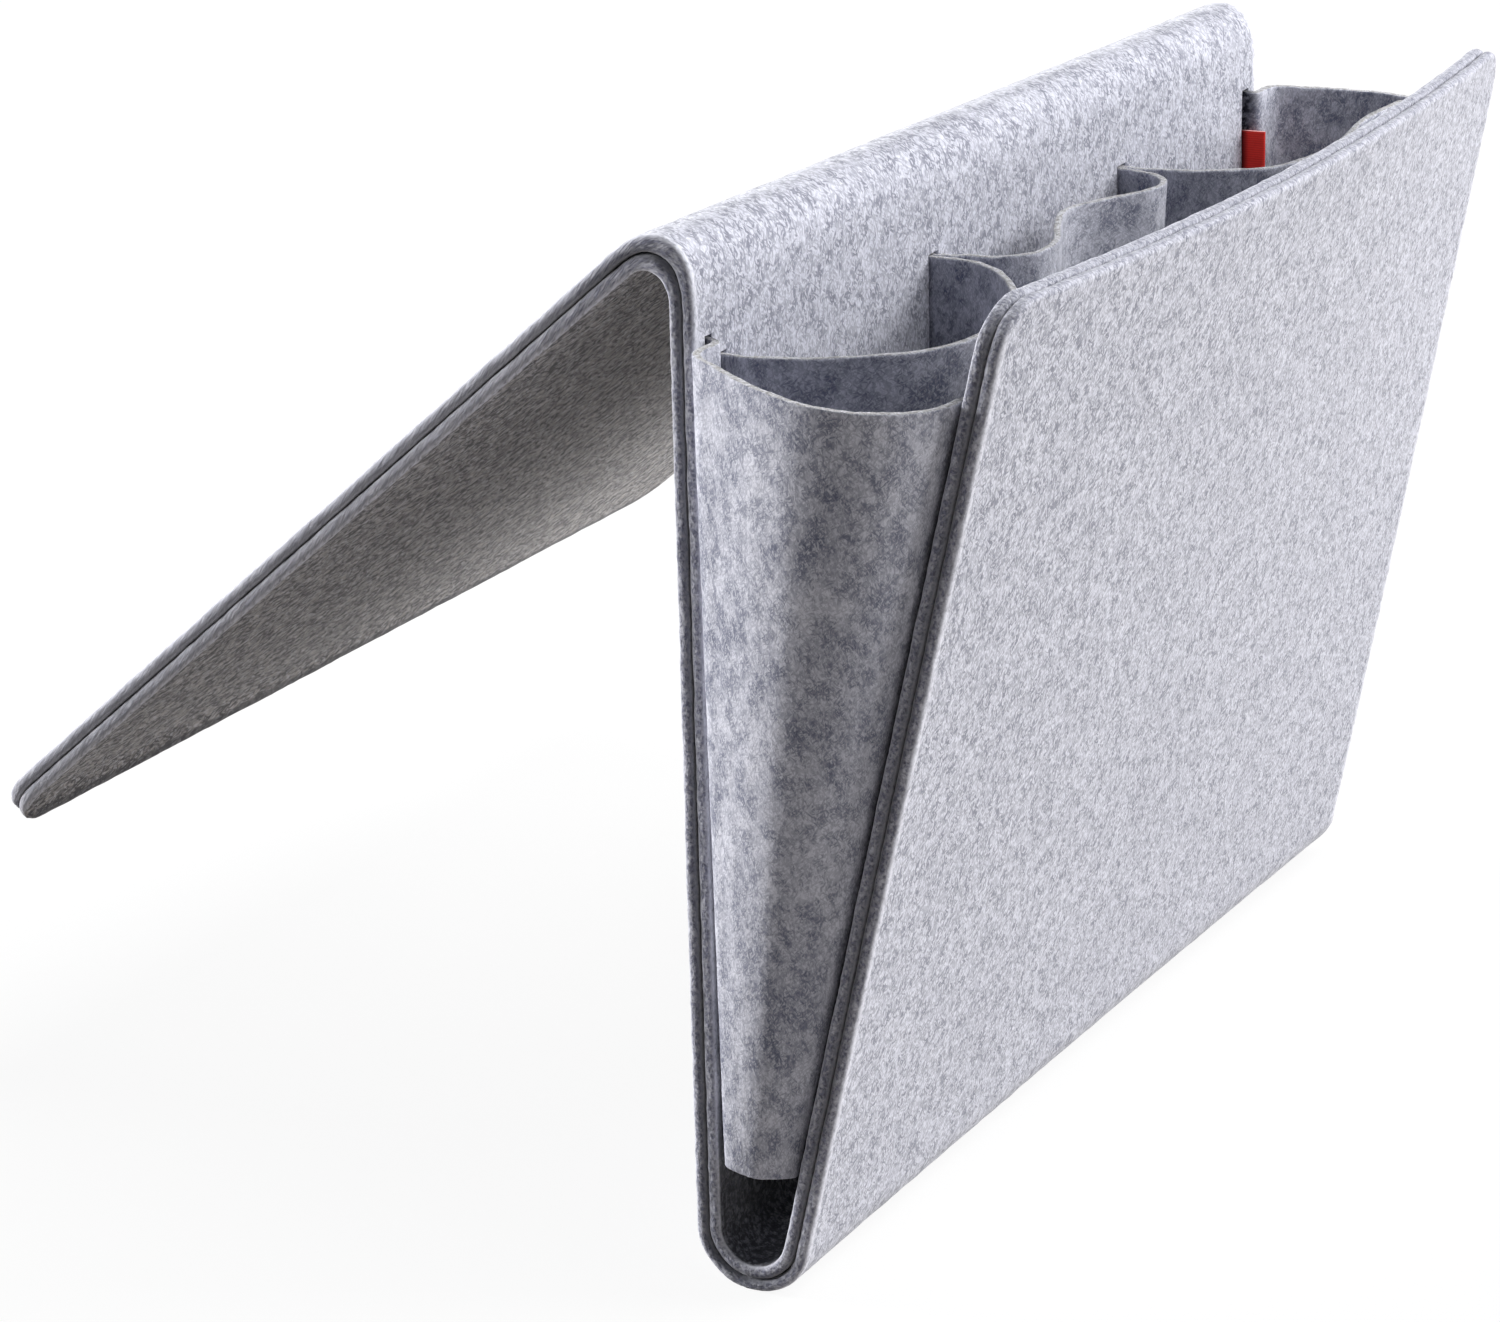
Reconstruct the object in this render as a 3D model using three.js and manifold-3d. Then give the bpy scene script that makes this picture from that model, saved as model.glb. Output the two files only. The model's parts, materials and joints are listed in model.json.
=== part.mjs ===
// Felt bedside caddy. One two-layer felt strip is folded into a flap, a back and a front. Thin felt gussets
// close the two ends, thin felt pouches stand against the back, and a ribbon tag sits by the right gusset.
// Millimetres, +Z up, X along the bed, +Y towards the bed. The origin is the middle of the foot.
import * as THREE from 'three';
import { mergeVertices } from 'three/addons/utils/BufferGeometryUtils.js';
import Module from 'manifold-3d';

const wasm = await Module();
wasm.setup();

const radians = THREE.MathUtils.degToRad;

// Felt strip
const STRIP_WIDTH = 320;
const LAYER = 2.95;
const GLUE_LINE = 0.3;
const CORNER_RADIUS = 12;
const FOLD_SEAM = 0.3;

// Folded shape
const HEIGHT = 241;
const FRONT_BELOW_FOLD = 3.7;
const FLAP_LENGTH = 236;
const TOP_INNER_RADIUS = 6;
const BOTTOM_INNER_RADIUS = 8.2;
const BACK_LEAN = radians(1.6);
const FRONT_LEAN = radians(11.2);
const FLAP_DROP = radians(41.7);
const FOOT_FLATTENING = 0.5;

// Side gussets
const GUSSET_FELT = 2;
const GUSSET_INSET = 6.5;
const GUSSET_TOP_BULGE = 28;
const GUSSET_FOOT_BULGE = 8;
const GUSSET_BEND_RADIUS = 2.2;
const TAB_LEAD = 0.5;
const GUSSET_BELOW_FOLD = 8.8;
const GUSSET_ABOVE_FOOT = 16.5;

// Pouches
const POUCH_FELT = 2;
const POUCH_INSET = 13;
const LEFT_POUCH_WIDTH = 104;
const MIDDLE_POUCH_WIDTH = 111;
const LEFT_POUCH_DEPTH = 44;
const MIDDLE_POUCH_DEPTH = 21;
const RIGHT_POUCH_DEPTH = 40;
const POUCH_BELOW_FOLD = 13.7;
const POUCH_ABOVE_FOOT = 20.5;

// Ribbon tag
const RIBBON = 0.5;
const RIBBON_GAP = 0.2;
const TAG_HEIGHT = 12;
const TAG_REACH = 6.5;
const TAG_BELOW_GUSSET = 10.5;

// Clearances
const SLIT_CLEARANCE = 0.4;
const SLIT_END_CLEARANCE = 0.7;
const TAB_END_GAP = 0.5;
const SEAT_GAP = 0.3;

// Facets
const FOLD_STEPS = 10;
const CORNER_STEPS = 8;
const BEND_STEPS = 3;
const BULGE_STEPS = 24;
const POUCH_STEPS = 44;
const RISE_STEPS = 4;

const STRIP = 2 * LAYER + GLUE_LINE;
const TOP_OUTER_RADIUS = TOP_INNER_RADIUS + STRIP;
const BOTTOM_OUTER_RADIUS = BOTTOM_INNER_RADIUS + STRIP;
const TAB = LAYER - TAB_END_GAP;
const TAG_THICKNESS = 2 * RIBBON + RIBBON_GAP;
const LEFT_END = -STRIP_WIDTH / 2;
const ACROSS = new THREE.Vector3(1, 0, 0);

// A leg is a flat stretch of the strip: a fold axis to measure from, the way along the strip and the way through it.
function leg(origin, along) {
  return { origin, along, through: new THREE.Vector3().crossVectors(ACROSS, along) };
}

function onLeg(stretch, x, distance, offset) {
  return stretch.origin.clone()
    .addScaledVector(ACROSS, x)
    .addScaledVector(stretch.along, distance)
    .addScaledVector(stretch.through, offset);
}

function direction(angle) {
  return new THREE.Vector3(0, Math.cos(angle), Math.sin(angle));
}

const bottomAxis = new THREE.Vector3(0, 0, BOTTOM_OUTER_RADIUS - FOOT_FLATTENING);
const backLeg = leg(bottomAxis, direction(Math.PI / 2 - BACK_LEAN));
const frontLeg = leg(bottomAxis, direction(Math.PI / 2 + FRONT_LEAN));

const topAxisOffset = BOTTOM_OUTER_RADIUS + TOP_INNER_RADIUS;
const topAxisRise = HEIGHT - TOP_OUTER_RADIUS - bottomAxis.z;
const backLength = (topAxisRise + topAxisOffset * Math.sin(BACK_LEAN)) / Math.cos(BACK_LEAN);
const frontFoot = bottomAxis.z - BOTTOM_OUTER_RADIUS * Math.sin(FRONT_LEAN);
const frontLength = (HEIGHT - FRONT_BELOW_FOLD - frontFoot) / Math.cos(FRONT_LEAN);
const topAxis = onLeg(backLeg, 0, backLength, -topAxisOffset);
const flapLeg = leg(topAxis, direction(-FLAP_DROP));

// Half the angle of the wedge between back and front, and the clear opening between their faces at a height.
const halfWedge = (BACK_LEAN + FRONT_LEAN) / 2;

function openingAt(distance) {
  return 2 * (BOTTOM_INNER_RADIUS * Math.cos(halfWedge) + distance * Math.sin(halfWedge));
}

function toSolid(geometry) {
  const bare = geometry.clone();
  bare.deleteAttribute('normal');
  bare.deleteAttribute('uv');
  const merged = mergeVertices(bare, 1e-4);
  const vertProperties = new Float32Array(merged.attributes.position.array);
  const triVerts = new Uint32Array(merged.index.array);
  return new wasm.Manifold(new wasm.Mesh({ numProp: 3, vertProperties, triVerts }));
}

function toGeometry(solid) {
  const mesh = solid.getMesh();
  const geometry = new THREE.BufferGeometry();
  geometry.setAttribute('position', new THREE.BufferAttribute(mesh.vertProperties, 3));
  geometry.setIndex(new THREE.BufferAttribute(mesh.triVerts, 1));
  geometry.computeVertexNormals();
  return geometry;
}

// A flat panel in its own frame: x across, y along the strip, z through it. Its free end may have round corners.
function panelGeometry(from, to, corner) {
  const right = STRIP_WIDTH / 2;
  const outline = new THREE.Shape();
  outline.moveTo(-right, from);
  outline.lineTo(right, from);
  if (corner > 0) {
    outline.lineTo(right, to - corner);
    outline.absarc(right - corner, to - corner, corner, 0, Math.PI / 2, false);
    outline.lineTo(-right + corner, to);
    outline.absarc(-right + corner, to - corner, corner, Math.PI / 2, Math.PI, false);
  } else {
    outline.lineTo(right, to);
    outline.lineTo(-right, to);
  }
  outline.closePath();
  const settings = { depth: LAYER, bevelEnabled: false, curveSegments: CORNER_STEPS };
  return new THREE.ExtrudeGeometry(outline, settings);
}

// A slit right through a panel, from one distance along the strip to another.
function cutSlits(geometry, slits) {
  let solid = toSolid(geometry);
  for (const slit of slits) {
    const width = slit.width + 2 * SLIT_CLEARANCE;
    const length = slit.to - slit.from + 2 * SLIT_END_CLEARANCE;
    const cutter = new THREE.BoxGeometry(width, length, 3 * LAYER);
    cutter.translate(slit.x, (slit.from + slit.to) / 2, LAYER / 2);
    solid = solid.subtract(toSolid(cutter));
  }
  return toGeometry(solid);
}

function placeOnLeg(geometry, stretch, offset) {
  const basis = new THREE.Matrix4().makeBasis(ACROSS, stretch.along, stretch.through);
  basis.setPosition(onLeg(stretch, 0, 0, offset));
  return geometry.applyMatrix4(basis);
}

// A bend is a ring sector across the whole strip. A flattened bend is cut level under its axis.
function bendGeometry(axis, innerRadius, fromAngle, toAngle, flattening) {
  const outerRadius = innerRadius + LAYER;
  const section = new THREE.Shape();
  section.absarc(0, 0, outerRadius, fromAngle, toAngle, true);
  section.absarc(0, 0, innerRadius, toAngle, fromAngle, false);
  section.closePath();
  const settings = { depth: STRIP_WIDTH, bevelEnabled: false, curveSegments: FOLD_STEPS };
  const geometry = new THREE.ExtrudeGeometry(section, settings);
  const basis = new THREE.Matrix4().makeBasis(
    new THREE.Vector3(0, 1, 0), new THREE.Vector3(0, 0, 1), ACROSS);
  basis.setPosition(LEFT_END, axis.y, axis.z);
  geometry.applyMatrix4(basis);
  if (!flattening) {
    return geometry;
  }
  const floor = new THREE.BoxGeometry(2 * STRIP_WIDTH, 4 * outerRadius, 2 * outerRadius);
  floor.translate(0, axis.y, axis.z - outerRadius + flattening - outerRadius);
  return toGeometry(toSolid(geometry).subtract(toSolid(floor)));
}

// A sheet of felt: a row of middle points with normals for each height, given thickness. The box's own grid
// carries the sheet, with its x steps along the row and its z steps up the rise.
function sheetGeometry(rows, thickness) {
  const steps = rows[0].length - 1;
  const rises = rows.length - 1;
  const geometry = new THREE.BoxGeometry(1, 1, 1, steps, 1, rises);
  const position = geometry.attributes.position;
  const point = new THREE.Vector3();
  for (let i = 0; i < position.count; i += 1) {
    const column = Math.round((position.getX(i) + 0.5) * steps);
    const row = Math.round((position.getZ(i) + 0.5) * rises);
    const sample = rows[row][column];
    point.copy(sample.middle).addScaledVector(sample.normal, position.getY(i) * thickness);
    position.setXYZ(i, point.x, point.y, point.z);
  }
  geometry.computeVertexNormals();
  return geometry;
}

function spread(from, to, count) {
  return Array.from({ length: count + 1 }, (_, i) => from + (to - from) * i / count);
}

// Course of a gusset between its two bends, as shares of the width there and of the rise at the top and at the foot:
// it runs straight out past the strip's end, turns a soft corner by the back and comes round to the front. The top
// is a wide bulge and the foot is squarer, with its crown nearer the back.
const GUSSET_COURSE = [[0, 0, 0], [0, 0.18, 0.41], [0.012, 0.36, 0.69], [0.06, 0.475, 0.845], [0.133, 0.57, 0.915],
  [0.24, 0.713, 0.975], [0.41, 0.9, 1], [0.59, 1, 0.95], [0.766, 0.93, 0.68], [0.9, 0.705, 0.38], [0.98, 0.4, 0.16],
  [1, 0.15, 0.06], [1, 0, 0]];
const FOOT_CROWN = 6;
const TOP_CROWN = 7;
const gussetFrom = GUSSET_ABOVE_FOOT;
const gussetTo = backLength - GUSSET_BELOW_FOLD;
const gussetWall = TAB_LEAD + GUSSET_BEND_RADIUS;

function gussetShare(distance) {
  return (distance - gussetFrom) / (gussetTo - gussetFrom);
}

function gussetCourse(distance) {
  const width = openingAt(distance) - 2 * gussetWall;
  const share = gussetShare(distance);
  const points = GUSSET_COURSE.map(([x, top, foot]) => {
    const topRise = (GUSSET_TOP_BULGE - GUSSET_BEND_RADIUS) * top;
    const footRise = (GUSSET_FOOT_BULGE - GUSSET_BEND_RADIUS) * foot;
    return new THREE.Vector2(
      gussetWall + width * x, GUSSET_BEND_RADIUS + THREE.MathUtils.lerp(footRise, topRise, share));
  });
  return new THREE.SplineCurve(points);
}

// Plan of a gusset at a height: a tab, a bend outwards, its course, a bend back and a tab.
function gussetPlan(distance) {
  const opening = openingAt(distance);
  const quarter = Math.PI / 2;
  const line = (from, to) => new THREE.LineCurve(new THREE.Vector2(from, 0), new THREE.Vector2(to, 0));
  const bend = (x, start) => new THREE.EllipseCurve(
    x, GUSSET_BEND_RADIUS, GUSSET_BEND_RADIUS, GUSSET_BEND_RADIUS, start, start + quarter, false, 0);
  return [
    [line(-TAB, TAB_LEAD), 1],
    [bend(TAB_LEAD, -quarter), BEND_STEPS],
    [gussetCourse(distance), BULGE_STEPS],
    [bend(opening - TAB_LEAD, Math.PI), BEND_STEPS],
    [line(opening - TAB_LEAD, opening + TAB), 1],
  ];
}

function samplePlan(stretches) {
  const samples = [];
  for (const [curve, steps] of stretches) {
    for (const share of spread(0, 1, steps)) {
      if (share > 0 || samples.length === 0) {
        const tangent = curve.getTangent(share);
        samples.push({ at: curve.getPoint(share), normal: new THREE.Vector2(-tangent.y, tangent.x) });
      }
    }
  }
  return samples;
}

// side is -1 for the left end and 1 for the right end.
function gussetGeometry(side) {
  const root = side * (STRIP_WIDTH / 2 - GUSSET_INSET);
  const outward = ACROSS.clone().multiplyScalar(side);
  const rows = spread(gussetFrom, gussetTo, RISE_STEPS).map((distance) => {
    const back = onLeg(backLeg, root, distance, -BOTTOM_INNER_RADIUS);
    const front = onLeg(frontLeg, root, distance, BOTTOM_INNER_RADIUS);
    const forward = front.clone().sub(back).normalize();
    const row = samplePlan(gussetPlan(distance)).map(({ at, normal }) => ({
      middle: back.clone().addScaledVector(forward, at.x).addScaledVector(outward, at.y),
      normal: forward.clone().multiplyScalar(normal.x).addScaledVector(outward, normal.y),
    }));
    return side > 0 ? row : row.reverse();
  });
  return sheetGeometry(rows, GUSSET_FELT);
}

const pouchFrom = POUCH_ABOVE_FOOT;
const pouchTo = backLength - POUCH_BELOW_FOLD;
const pouchPitch = POUCH_FELT + SLIT_CLEARANCE;
const leftPouchStart = LEFT_END + POUCH_INSET;
const firstDivider = leftPouchStart + LEFT_POUCH_WIDTH;
const secondDivider = firstDivider + MIDDLE_POUCH_WIDTH;

// Where the right pouch meets the inside of the right gusset's crown at a height.
function gussetCrown(distance) {
  const share = gussetShare(distance);
  const crown = THREE.MathUtils.lerp(FOOT_CROWN, TOP_CROWN, share) / (GUSSET_COURSE.length - 1);
  const ahead = gussetCourse(distance).getPoint(crown).x;
  const at = gussetCourse(distance + ahead * Math.sin(halfWedge)).getPoint(crown);
  const root = STRIP_WIDTH / 2 - GUSSET_INSET;
  return new THREE.Vector2(root + at.y - GUSSET_FELT / 2 - SEAT_GAP, at.x * Math.cos(halfWedge));
}

// A pouch's plan runs from tab to tab. The points between are shares of its width and depth, and its depth
// shrinks down the wedge as the opening does.
function pouchPlan(start, end, depth, shares) {
  return (distance) => {
    const reach = depth * openingAt(distance) / openingAt(pouchTo);
    const between = shares.map(([x, d]) => new THREE.Vector2(start + (end - start) * x, reach * d));
    const tab = (x) => [new THREE.Vector2(x, -TAB), new THREE.Vector2(x, TAB_LEAD)];
    return [...tab(start), ...between, ...tab(end).reverse()];
  };
}

const leftPouchPlan = pouchPlan(leftPouchStart, firstDivider - pouchPitch / 2, LEFT_POUCH_DEPTH,
  [[0, 0.2], [0.07, 0.58], [0.2, 0.9], [0.4, 1], [0.65, 0.87], [0.87, 0.58], [0.985, 0.28]]);
const middlePouchPlan = pouchPlan(firstDivider + pouchPitch / 2, secondDivider - pouchPitch / 2, MIDDLE_POUCH_DEPTH,
  [[0.02, 0.36], [0.03, 0.7], [0.1, 1], [0.22, 0.96], [0.36, 0.66], [0.52, 0.38], [0.67, 0.57], [0.8, 0.84],
    [0.9, 0.8], [0.97, 0.5]]);

function rightPouchPlan(distance) {
  const start = secondDivider + pouchPitch / 2;
  const crown = gussetCrown(distance);
  const open = pouchPlan(start, crown.x, RIGHT_POUCH_DEPTH,
    [[0, 0.25], [0.03, 0.55], [0.11, 0.88], [0.28, 1], [0.5, 0.98], [0.75, 0.87]])(distance);
  return [...open.slice(0, -2), crown];
}

function pouchGeometry(plan) {
  const rows = spread(pouchFrom, pouchTo, RISE_STEPS).map((distance) => {
    const curve = new THREE.SplineCurve(plan(distance));
    return samplePlan([[curve, POUCH_STEPS]]).map(({ at, normal }) => ({
      middle: onLeg(backLeg, at.x, distance, at.y - BOTTOM_INNER_RADIUS),
      normal: ACROSS.clone().multiplyScalar(-normal.x).addScaledVector(backLeg.through, -normal.y),
    }));
  });
  return sheetGeometry(rows, POUCH_FELT);
}

// The ribbon is folded double: its two ends go into the slit beside the right gusset.
const tagX = STRIP_WIDTH / 2 - GUSSET_INSET - GUSSET_FELT / 2 - SLIT_CLEARANCE - TAG_THICKNESS / 2;
const tagTo = gussetTo - TAG_BELOW_GUSSET;
const tagFrom = tagTo - TAG_HEIGHT;

function tagGeometry() {
  const outer = TAG_THICKNESS / 2;
  const inner = RIBBON_GAP / 2;
  const tip = TAG_REACH - outer;
  const quarter = Math.PI / 2;
  const section = new THREE.Shape();
  section.moveTo(-TAB, -outer);
  section.lineTo(tip, -outer);
  section.absarc(tip, 0, outer, -quarter, quarter, false);
  section.lineTo(-TAB, outer);
  section.lineTo(-TAB, inner);
  section.lineTo(tip, inner);
  section.lineTo(tip, -inner);
  section.lineTo(-TAB, -inner);
  section.closePath();
  const settings = { depth: TAG_HEIGHT, bevelEnabled: false, curveSegments: CORNER_STEPS };
  const geometry = new THREE.ExtrudeGeometry(section, settings);
  const basis = new THREE.Matrix4().makeBasis(backLeg.through, ACROSS, backLeg.along);
  basis.setPosition(onLeg(backLeg, tagX, tagFrom, -BOTTOM_INNER_RADIUS));
  return geometry.applyMatrix4(basis);
}

function felt(colour) {
  return new THREE.MeshStandardMaterial({ color: colour, roughness: 0.95, metalness: 0 });
}

const FELT_COLOUR = 0xb4b7c0;
const THIN_FELT_COLOUR = 0x9498a3;
const TAG_COLOUR = 0xc41f1a;

const caddy = new THREE.Group();

function add(name, geometry, colour) {
  const mesh = new THREE.Mesh(geometry, felt(colour));
  mesh.name = name;
  caddy.add(mesh);
}

const gussetSlits = [-1, 1].map((side) => ({
  x: side * (STRIP_WIDTH / 2 - GUSSET_INSET), width: GUSSET_FELT, from: gussetFrom, to: gussetTo }));
const pouchSlit = (x, sheets) => ({
  x, width: sheets * pouchPitch - SLIT_CLEARANCE, from: pouchFrom, to: pouchTo });
const backSlits = [
  ...gussetSlits,
  pouchSlit(leftPouchStart, 1),
  pouchSlit(firstDivider, 2),
  pouchSlit(secondDivider, 2),
  { x: tagX, width: TAG_THICKNESS, from: tagFrom, to: tagTo },
];

const outerLayerOffset = LAYER + GLUE_LINE;
const backEnd = backLength - FOLD_SEAM;

const flapPanel = () => panelGeometry(FOLD_SEAM, FLAP_LENGTH, CORNER_RADIUS);
add('flap_upper_layer', placeOnLeg(flapPanel(), flapLeg, TOP_INNER_RADIUS + outerLayerOffset), FELT_COLOUR);
add('flap_lower_layer', placeOnLeg(flapPanel(), flapLeg, TOP_INNER_RADIUS), FELT_COLOUR);

const topFrom = Math.PI - BACK_LEAN;
const topTo = Math.PI / 2 - FLAP_DROP;
add('top_fold_outer_layer', bendGeometry(topAxis, TOP_INNER_RADIUS + outerLayerOffset, topFrom, topTo, 0), FELT_COLOUR);
add('top_fold_inner_layer', bendGeometry(topAxis, TOP_INNER_RADIUS, topFrom, topTo, 0), FELT_COLOUR);

const backPanel = () => panelGeometry(FOLD_SEAM, backEnd, 0);
const pocketLayerOffset = -BOTTOM_INNER_RADIUS - LAYER;
add('back_pocket_layer', placeOnLeg(cutSlits(backPanel(), backSlits), backLeg, pocketLayerOffset), FELT_COLOUR);
add('back_rear_layer', placeOnLeg(backPanel(), backLeg, -BOTTOM_OUTER_RADIUS), FELT_COLOUR);

const bottomFrom = -BACK_LEAN;
const bottomTo = FRONT_LEAN - Math.PI;
add('bottom_fold_inner_layer', bendGeometry(bottomAxis, BOTTOM_INNER_RADIUS, bottomFrom, bottomTo, 0), FELT_COLOUR);
add('bottom_fold_outer_layer', bendGeometry(
  bottomAxis, BOTTOM_INNER_RADIUS + outerLayerOffset, bottomFrom, bottomTo, FOOT_FLATTENING), FELT_COLOUR);

const frontPanel = () => panelGeometry(FOLD_SEAM, frontLength, CORNER_RADIUS);
add('front_inner_layer', placeOnLeg(cutSlits(frontPanel(), gussetSlits), frontLeg, BOTTOM_INNER_RADIUS), FELT_COLOUR);
add('front_outer_layer', placeOnLeg(frontPanel(), frontLeg, BOTTOM_INNER_RADIUS + outerLayerOffset), FELT_COLOUR);

add('left_gusset', gussetGeometry(-1), THIN_FELT_COLOUR);
add('right_gusset', gussetGeometry(1), THIN_FELT_COLOUR);
add('left_pouch', pouchGeometry(leftPouchPlan), THIN_FELT_COLOUR);
add('middle_pouch', pouchGeometry(middlePouchPlan), THIN_FELT_COLOUR);
add('right_pouch', pouchGeometry(rightPouchPlan), THIN_FELT_COLOUR);
add('ribbon_tag', tagGeometry(), TAG_COLOUR);

export default caddy;
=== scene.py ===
"""Felt bedside caddy.

Two felt layers are cut flat and folded. Thin felt gussets and pouches and a ribbon tag sit in their slits.
"""

import bisect
import json
import math
from typing import NamedTuple

import bmesh
import bpy
from mathutils import Matrix, Vector, noise
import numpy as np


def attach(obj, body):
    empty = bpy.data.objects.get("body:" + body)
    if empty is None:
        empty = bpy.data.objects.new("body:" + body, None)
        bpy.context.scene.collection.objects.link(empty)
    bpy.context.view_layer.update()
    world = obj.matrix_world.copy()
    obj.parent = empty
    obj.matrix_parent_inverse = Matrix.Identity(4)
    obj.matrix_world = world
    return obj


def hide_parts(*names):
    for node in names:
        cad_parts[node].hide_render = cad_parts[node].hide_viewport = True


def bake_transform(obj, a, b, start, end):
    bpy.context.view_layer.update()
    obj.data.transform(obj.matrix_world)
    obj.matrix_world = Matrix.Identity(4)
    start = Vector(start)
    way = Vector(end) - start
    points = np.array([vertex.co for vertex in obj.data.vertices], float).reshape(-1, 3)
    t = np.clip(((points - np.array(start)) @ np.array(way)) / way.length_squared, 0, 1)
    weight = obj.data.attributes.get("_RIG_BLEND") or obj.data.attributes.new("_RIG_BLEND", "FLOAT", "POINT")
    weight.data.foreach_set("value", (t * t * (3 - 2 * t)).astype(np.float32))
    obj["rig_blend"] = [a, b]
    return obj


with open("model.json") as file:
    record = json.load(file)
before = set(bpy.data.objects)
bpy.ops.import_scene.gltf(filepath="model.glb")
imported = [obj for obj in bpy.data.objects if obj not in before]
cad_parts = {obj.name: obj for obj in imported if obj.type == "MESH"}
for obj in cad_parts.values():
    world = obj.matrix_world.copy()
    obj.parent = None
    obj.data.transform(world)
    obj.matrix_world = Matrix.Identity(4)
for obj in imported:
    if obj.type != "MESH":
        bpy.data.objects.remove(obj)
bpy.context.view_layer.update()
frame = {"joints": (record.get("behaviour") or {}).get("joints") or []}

bl_info = {
    "name": "Felt Bedside Caddy",
    "version": (1, 0, 0),
    "blender": (4, 5, 0),
    "location": "View3D > Sidebar > Caddy",
    "description": "Builds a folded felt bedside caddy on its packed frame",
    "category": "Object",
}

ACROSS = Vector((1, 0, 0))
FLAP_JOINT = next(joint for joint in frame["joints"] if joint["name"] == "flap_fold")
FRONT_JOINT = next(joint for joint in frame["joints"] if joint["name"] == "front_fold")

# Half of the depth over which a fold of the strip, or the whole pocket, turns with its joint
FOLD_REACH = 0.008
POCKET_REACH = 0.03

# Room for rounding when places are compared
TOUCH = 1e-5


def length(name, description, default):
    return bpy.props.FloatProperty(
        name=name, description=description, default=default, unit="LENGTH", precision=5
    )


def angle(name, description, degrees):
    return bpy.props.FloatProperty(
        name=name, description=description, default=math.radians(degrees), subtype="ANGLE"
    )


def colour(name, description, default):
    return bpy.props.FloatVectorProperty(
        name=name, description=description, default=default, size=3, min=0, max=1, subtype="COLOR"
    )


class CaddyStrip(bpy.types.PropertyGroup):
    """Sizes of the folded felt strip."""

    width: length("Width", "Width of the strip, along the bed", 0.320)
    layer: length("Layer", "Thickness of one felt layer", 0.00295)
    glue_line: length("Glue line", "Gap between the two layers", 0.0003)
    corner: length("Corner", "Radius of the flap's and front's corners", 0.012)
    edge: length("Edge rounding", "Rounding of the cut edges", 0.0011)
    slit_edge: length("Slit rounding", "Rounding of the slits' edges", 0.0003)
    flap: length("Flap", "Length of the flat flap", 0.236)
    height: length("Height", "Height of the top fold above the floor", 0.241)
    front_below: length("Front drop", "Top of the front below the top fold", 0.0037)
    top_radius: length("Top radius", "Inner radius of the top fold", 0.006)
    bottom_radius: length("Bottom radius", "Inner radius of the bottom fold", 0.0082)
    flattening: length("Foot flattening", "How far the foot is pressed flat", 0.0005)
    back_lean: angle("Back lean", "Lean of the back towards the bed", 1.6)
    front_lean: angle("Front lean", "Lean of the front away from the back", 11.2)
    flap_drop: angle("Flap drop", "Angle of the flap below level", 41.7)


class CaddyInsert(bpy.types.PropertyGroup):
    """Sizes of the thin felt gussets and pouches and of the tag."""

    felt: length("Thin felt", "Thickness of the gussets and pouches", 0.002)
    edge: length("Thin edge rounding", "Rounding of the thin felt's cut edges", 0.0005)
    slit: length("Slit clearance", "Room beside a sheet in its slit", 0.0004)
    slit_end: length("Slit end", "Room past a sheet's end in its slit", 0.0004)
    tab: length("Tab", "Depth of a sheet's edge in its slit", 0.00245)
    gusset_inset: length("Gusset inset", "Distance of a gusset's slit from the strip's end", 0.0065)
    gusset_from: length("Gusset foot", "Start of a gusset above the bottom fold", 0.0165)
    gusset_below: length("Gusset drop", "Top of a gusset below the top fold", 0.0088)
    gusset_bend: length("Gusset bend", "Radius of a gusset's bend beside its tab", 0.0022)
    gusset_lead: length("Tab lead", "Straight length of a tab out of its slit", 0.0005)
    top_bulge: length("Top bulge", "How far a gusset bulges from its slits at its top", 0.028)
    foot_bulge: length("Foot bulge", "How far a gusset bulges from its slits at its foot", 0.008)
    pouch_inset: length("Pouch inset", "Distance of the first pouch slit from the left end", 0.013)
    left_width: length("Left pouch width", "Width of the left pouch", 0.104)
    middle_width: length("Middle pouch width", "Width of the middle pouch", 0.111)
    left_depth: length("Left pouch depth", "Depth of the left pouch at its top", 0.044)
    middle_depth: length("Middle pouch depth", "Depth of the middle pouch at its top", 0.021)
    right_depth: length("Right pouch depth", "Depth of the right pouch at its top", 0.040)
    pouch_from: length("Pouch foot", "Start of a pouch above the bottom fold", 0.0205)
    pouch_below: length("Pouch drop", "Top of a pouch below the top fold", 0.0137)
    pouch_lead: length("Pouch lead", "Straight length of a pouch out of its slit", 0.0008)
    pouch_gap: length("Pouch gap", "Gap between the right pouch's end and the right gusset", 0.0003)
    ribbon: length("Ribbon", "Thickness of the tag's ribbon", 0.0005)
    ribbon_edge: length("Ribbon rounding", "Rounding of the ribbon's edges", 0.00012)
    tag_height: length("Tag height", "Width of the ribbon", 0.012)
    tag_reach: length("Tag reach", "How far the tag stands out of its slit", 0.0065)
    tag_root: length("Tag root", "Shaded length of the tag beside its slit", 0.0018)
    tag_below: length("Tag drop", "Top of the tag below the gusset's top", 0.0105)


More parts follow.
